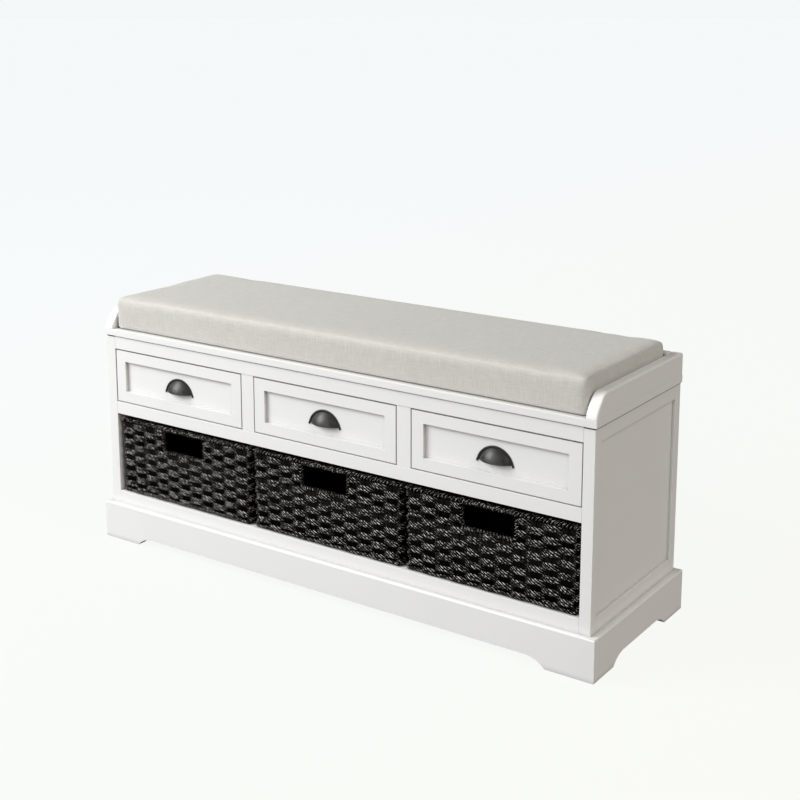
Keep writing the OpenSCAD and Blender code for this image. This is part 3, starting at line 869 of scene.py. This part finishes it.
for number, side in enumerate(("left", "middle", "right")):
    body = f"{side}_basket_unit"
    low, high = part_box(f"{side}_basket")
    middle_x, middle_y = 0.5 * (low.x + high.x), 0.5 * (low.y + high.y)
    half_x, half_y, height = 0.5 * (high.x - low.x), 0.5 * (high.y - low.y), high.z - low.z
    weave_top = high.z - rim_height
    weave_foot = low.z + floor_gap
    row_pitch = (weave_top - weave_foot) / strand_count
    round_length = round_the_wall(0.0, half_x, half_y, corner_r)[4]
    hole_share = (0.5 * hole_w + hole_clear) / round_length

    def wall_point(share, depth, z):
        """A point in the wall at a depth below its outer face, with its outward direction."""
        lean = wall_lean * (high.z - z) / height
        side_x, side_y, out_x, out_y, _ = round_the_wall(share, half_x, half_y, corner_r)
        inner_r = corner_r - depth
        x = middle_x + side_x * (half_x - corner_r - lean) + inner_r * out_x
        y = middle_y + side_y * (half_y - corner_r - lean) + inner_r * out_y
        return x, y, out_x, out_y

    def past_hole(share):
        """Where a strand lies that starts and ends at the hand hole."""
        return hole_share + share * (1 - 2 * hole_share)

    def lay_row(chart):
        """Weaves the rows: in and out of the stakes, and round the hand hole from end to end."""
        row = np.round(chart[:, 2])
        open_row = row >= open_mark
        row = row % open_mark
        level = weave_foot + (row + 0.5) * row_pitch
        share = np.where(open_row, past_hole(chart[:, 0]), chart[:, 0])
        side_of_stake = np.where((row // strands_together) % 2 == 0, 1.0, -1.0)
        swing = np.cos(math.pi * stakes_round * share) * side_of_stake
        # flatter over the stakes; each row swings and strays a little in its own way
        swing = swing * (1.3 - 0.3 * swing ** 2)
        swing = swing * (0.9 + 0.1 * np.sin(row * 7.7 + 2 * math.pi * 5 * share))
        swing = np.where(row == 0, 0.75 + 0.15 * swing, swing)
        odd = np.sin(row * 12.9898 + number * 4.1)
        stray = 0.0004 * np.sin(2 * math.pi * (share * 23 + 3 * odd))
        tucked = np.where(open_row, np.clip(np.minimum(chart[:, 0], 1 - chart[:, 0]) * 300, 0, 1), 1.0)
        x, y, out_x, out_y = wall_point(share, wall_middle - wave_depth * swing, level)
        out, up = rolled(chart, strand_half_w, strand_half_h, round_length, 3 * odd)
        out, up = out * np.sqrt(tucked), up * np.sqrt(tucked)
        points = as_points(x + out * out_x, y + out * out_y, level + up + stray)
        # strands turn lighter where they swing out past the stakes: worn stain and painted highlight
        shows = 0.14 + 0.86 * np.clip(0.5 + 0.6 * swing, 0, 1) ** 2.2
        return points, np.where(row == 0, 0.5, shows)

    hole_top = high.z - hole_drop
    levels = [weave_foot + (row + 0.5) * row_pitch for row in range(strand_count)]
    rows = [
        row + open_mark * (hole_top - hole_h - 0.5 * row_pitch < level < hole_top + row_pitch)
        for row, level in enumerate(levels)
    ]
    weave = lay_strands(
        strand_charts(rows, strand_rings, strand_sides), f"{side}_basket_weave", body,
        round_length, lay_row)
    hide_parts(f"{side}_basket")

    def lay_lining(chart):
        """The thin black sheet in the middle of the wall, painted shade behind the weave so no light
        comes through it: a full ring below and above the hand hole, and one cut off at its ends."""
        band = np.round(chart[:, 2]).astype(int)
        share = np.where(band == 1, past_hole(chart[:, 0]), chart[:, 0])
        floors = np.array(
            [low.z + lining_foot, hole_top - hole_h - lining_lap, hole_top + lining_lap])
        heads = np.array([floors[1], floors[2], high.z - lining_top])
        z = floors[band] + chart[:, 1] * (heads - floors)[band]
        x, y, _, _ = wall_point(share, wall_middle, z)
        return as_points(x, y, z), 0.0

    lining = lay_strands(
        strand_charts(range(3), 240, 1), f"{side}_basket_shade_sheet", body, round_length, lay_lining)
    backing = lining.modifiers.new("backing", "SOLIDIFY")
    backing.thickness = lining_thick
    backing.offset = 0

    def rim_path(share):
        """The middle of the rim border."""
        z = high.z - 0.5 * rim_height
        x, y, out_x, out_y = wall_point(share, rim_depth, z)
        return as_points(x, y, z), as_points(out_x, out_y, 0.0), as_points(0.0 * x, 0.0, 1.0)

    wrapped_cord(
        strand_charts(range(2), 1530, 6), f"{side}_basket_rim", body, rim_path, round_length,
        starts=2, pitch=0.0135, reach_out=0.0036, reach_up=0.0027, cord_r=0.0021)

    def hole_path(share):
        """The middle of the border round the hand hole, in the front wall."""
        half_w, half_h = 0.5 * hole_w, 0.5 * hole_h
        side_x, side_z, out_x, out_z, _ = round_the_wall(share, half_w, half_h, hole_corner_r)
        z = hole_top - half_h + side_z * (half_h - hole_corner_r) + hole_cord_out * out_z
        x = middle_x + side_x * (half_w - hole_corner_r) + hole_cord_out * out_x
        y = low.y + hole_cord_depth + wall_lean * (high.z - z) / height
        return as_points(x, y, z), as_points(0.0 * x, -1.0, 0.0), as_points(out_x, 0.0, out_z)

    wrapped_cord(
        strand_charts(range(2), 300, 6), f"{side}_basket_hole_border", body, hole_path,
        2 * (hole_w + hole_h), starts=2, pitch=0.0125, reach_out=0.0024, reach_up=0.0022,
        cord_r=0.0019)

    base_length = 2 * (half_x - wall_lean - base_inset)

    def lay_base(chart):
        """The flat woven base: strands side by side along x, over and under in turn."""
        row = np.round(chart[:, 2])
        span = 2 * (half_y - wall_lean - base_inset)
        x = (chart[:, 0] - 0.5) * base_length
        swing = np.cos(math.pi * x / base_wave) * np.where((row // 2) % 2 == 0, 1.0, -1.0)
        out, up = rolled(chart, base_half_w, base_half_h, base_length, row)
        tucked = np.sqrt(np.clip(np.minimum(chart[:, 0], 1 - chart[:, 0]) * 120, 0, 1))
        y = (row + 0.5) / base_rows * span - 0.5 * span + out * tucked
        z = low.z + base_middle + base_wave_depth * swing + up * tucked
        return as_points(middle_x + x, middle_y + y, z), 0.3

    lay_strands(
        strand_charts(range(base_rows), 56, 6), f"{side}_basket_base", body, base_length, lay_base)

    # a thin black sheet under the base weave: painted shade behind it
    half_floor = Vector((half_x - wall_middle, half_y - wall_middle, 0.5 * lining_thick))
    floor_middle = Vector((middle_x, middle_y, low.z + base_middle))
    floor_work, upright = block(floor_middle - half_floor, floor_middle + half_floor)
    round_over(floor_work, upright, floor_corner_r, 3)
    smooth(show(floor_work, f"{side}_basket_floor_shade_sheet", body, rush))

    stake_work = bmesh.new()
    for stake in range(1, stakes_round + 1):
        ends = []
        for z in (low.z + stake_foot, high.z - stake_top):
            x, y, _, _ = wall_point(stake / stakes_round, wall_middle, z)
            ends.append(Vector((x, y, z)))
        foot, top = ends
        if abs(foot.x - middle_x) < 0.5 * hole_w + stake_clear and foot.y < middle_y:
            continue  # none stands behind the hand hole
        run = top - foot
        upright_turn = run.to_track_quat("Z", "Y").to_matrix().to_4x4()
        bmesh.ops.create_cone(
            stake_work, cap_ends=True, segments=8, radius1=stake_r, radius2=stake_r,
            depth=run.length, matrix=Matrix.Translation(foot + 0.5 * run) @ upright_turn)
    stakes = show(stake_work, f"{side}_basket_stakes", body, rush)
    smooth(stakes, crease_degrees=50)

# --------------------------------------------------
# Seat cushion: a firm foam slab in a tight cover of coarse greige linen without piping, laid
# loose between the galleries.

linen_light = (0.648, 0.632, 0.59)
linen_dark = (0.535, 0.52, 0.474)
slab_shrink = 0.003
slab_lift = 0.002
slab_edge_r = 0.006
slab_corner_r = 0.011
voxel = 0.0055
swell_limit = 0.003
swell_frames = 20
rest_gap = 0.0006
past_low = (0.0025, 0.001, 0.006)
past_high = (0.0025, 0.0025, 0.003)
thread_pitch = 0.0019

cushion_low, cushion_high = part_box("seat_cushion")
slab_low = cushion_low + Vector((slab_shrink, slab_shrink, slab_lift))
work, upright = block(slab_low, cushion_high - Vector((slab_shrink, slab_shrink, slab_shrink)))
round_over(work, upright, slab_corner_r, 6)
work.normal_update()
level = [
    e for e in work.edges
    if abs(e.verts[0].co.z - e.verts[1].co.z) < 1e-5 and e.calc_face_angle(0) > 1.0]
round_over(work, level, slab_edge_r, 5)
slab_mesh = bpy.data.meshes.new("cushion_slab")
work.to_mesh(slab_mesh)
work.free()
slab = put_in_scene("cushion_slab", slab_mesh)
remesh = slab.modifiers.new("even_mesh", "REMESH")
remesh.mode = "VOXEL"
remesh.voxel_size = voxel


def evaluated_mesh(thing):
    """The mesh with its modifiers worked in."""
    bpy.context.view_layer.update()
    worked = bpy.context.evaluated_depsgraph_get()
    return bpy.data.meshes.new_from_object(
        thing.evaluated_get(worked), preserve_all_data_layers=True, depsgraph=worked)


even_slab = evaluated_mesh(slab)
slab.modifiers.clear()
slab.data = even_slab
start = read_out(even_slab.vertices, "co", 3).astype(float)

cloth = slab.modifiers.new("cover", "CLOTH")
cloth.settings.use_pressure = True
cloth.settings.uniform_pressure_force = 4
cloth.settings.effector_weights.gravity = 0
cloth.settings.tension_stiffness = 25
cloth.settings.compression_stiffness = 25
cloth.settings.bending_stiffness = 1.5
cloth.settings.quality = 6
cloth.point_cache.frame_end = swell_frames
for step in range(1, swell_frames + 1):
    bpy.context.scene.frame_set(step)
swollen = read_out(evaluated_mesh(slab).vertices, "co", 3).astype(float)
slab.modifiers.clear()
bpy.context.scene.frame_set(1)

moved = swollen - start
length = np.linalg.norm(moved, axis=1)
scale = np.minimum(1.0, swell_limit / np.maximum(length, 1e-9))
shape = start + moved * scale[:, None]
low_now, high_now = shape.min(0), shape.max(0)
target_low = np.array(cushion_low) - past_low
target_high = np.array(cushion_high) + past_high
shape = target_low + (shape - low_now) / (high_now - low_now) * (target_high - target_low)
shape[:, 2] = np.maximum(shape[:, 2], cushion_low.z + rest_gap)
slab.data.vertices.foreach_set("co", shape.astype(np.float32).ravel())

relaxed = slab.modifiers.new("relaxed", "SMOOTH")
relaxed.factor = 0.5
relaxed.iterations = 2
finer = slab.modifiers.new("finer", "SUBSURF")
finer.levels = 1
cover_mesh = evaluated_mesh(slab)
cover_mesh.name = "seat_cushion_cover"
bpy.data.objects.remove(slab)

# the weave follows each panel: top and bottom lie in x and y, the boxing wraps round the sides
faces = cover_mesh.polygons
normals = np.abs(read_out(faces, "normal", 3))
face_of_corner = np.repeat(np.arange(len(faces)), read_out(faces, "loop_total", kind=np.int32))
corner = read_out(cover_mesh.loops, "vertex_index", kind=np.int32)
at = read_out(cover_mesh.vertices, "co", 3).astype(float)[corner]
facing = normals[face_of_corner]
on_top = (facing[:, 2] > 0.7)[:, None]
on_front = (facing[:, 1] >= facing[:, 0])[:, None]
flat_uv = np.where(on_top, at[:, [0, 1]], np.where(on_front, at[:, [0, 2]], at[:, [1, 2]]))
weave_uv = cover_mesh.uv_layers.new(name="weave")
weave_uv.data.foreach_set("uv", flat_uv.astype(np.float32).ravel())

linen, tree, shader, place = finish(
    "linen", 0.88, Specular_IOR_Level=0.25, Sheen_Weight=0.25, Sheen_Roughness=0.5)
cloth_uv = put(tree, "ShaderNodeUVMap", uv_map="weave").outputs[0]

# linen threads: warp and weft crossing over and under, with slubs drawn out along each
threads, given, made = effect(
    "linen_threads", {"UV": "Vector", "Pitch": "Float"},
    {"Height": "Float", "Slubs": "Float", "Gaps": "Float"})
per_thread = put(threads, "ShaderNodeVectorMath", given["UV"], operation="SCALE")
threads.links.new(work_out(threads, "DIVIDE", math.pi, given["Pitch"]), per_thread.inputs["Scale"])
parts = put(threads, "ShaderNodeSeparateXYZ", per_thread.outputs[0]).outputs
wave_u = work_out(threads, "SINE", parts["X"])
wave_v = work_out(threads, "SINE", parts["Y"])
over = times(threads, wave_u, wave_v)
round_u = work_out(threads, "ABSOLUTE", wave_u)
round_v = work_out(threads, "ABSOLUTE", wave_v)
body_of_cloth = times(threads, round_u, round_v)
crossing = times(threads, over, 0.5)
threads.links.new(work_out(threads, "ADD", body_of_cloth, crossing), made["Height"])
threads.links.new(ranged(threads, body_of_cloth, 0.0, 0.35, 1.0, 0.0), made["Gaps"])
slub_tones = []
for stretch in ((40.0, 540.0, 1.0), (540.0, 40.0, 1.0)):
    slub_tones.append(noise(threads, stretched(threads, given["UV"], stretch), 1.0, 2.0, 0.5))
slub = times(threads, work_out(threads, "ADD", *slub_tones), 0.5)
threads.links.new(ranged(threads, slub, 0.36, 0.64), made["Slubs"])

woven = use(tree, threads, cloth_uv, thread_pitch)
slub_tone = times(tree, woven["Slubs"], 0.85)
cloud_tone = times(tree, use(tree, mottle, place, 9.0)["Tone"], 0.15)
yarn = mixed(tree, work_out(tree, "ADD", slub_tone, cloud_tone), linen_dark, linen_light)
# painted shade: the gaps between the threads take a darker copy of the yarn colour
gaps = times(tree, woven["Gaps"], 0.1)
tree.links.new(mixed(tree, gaps, yarn, shaded(linen_dark, 0.6)), shader.inputs["Base Color"])
tree.links.new(ranged(tree, woven["Slubs"], 0.0, 1.0, 0.82, 0.93), shader.inputs["Roughness"])
yarn_height = times(tree, woven["Height"], 0.00009)
slub_height = times(tree, woven["Slubs"], 0.00030)
cloth_height = work_out(tree, "ADD", yarn_height, slub_height)
tree.links.new(bumped(tree, cloth_height, 0.8), shader.inputs["Normal"])

cushion = put_in_scene("seat_cushion_cover", cover_mesh)
cover_mesh.materials.clear()
cover_mesh.materials.append(linen)
cover_mesh.shade_smooth()
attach(cushion, "cushion_unit")
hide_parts("seat_cushion")
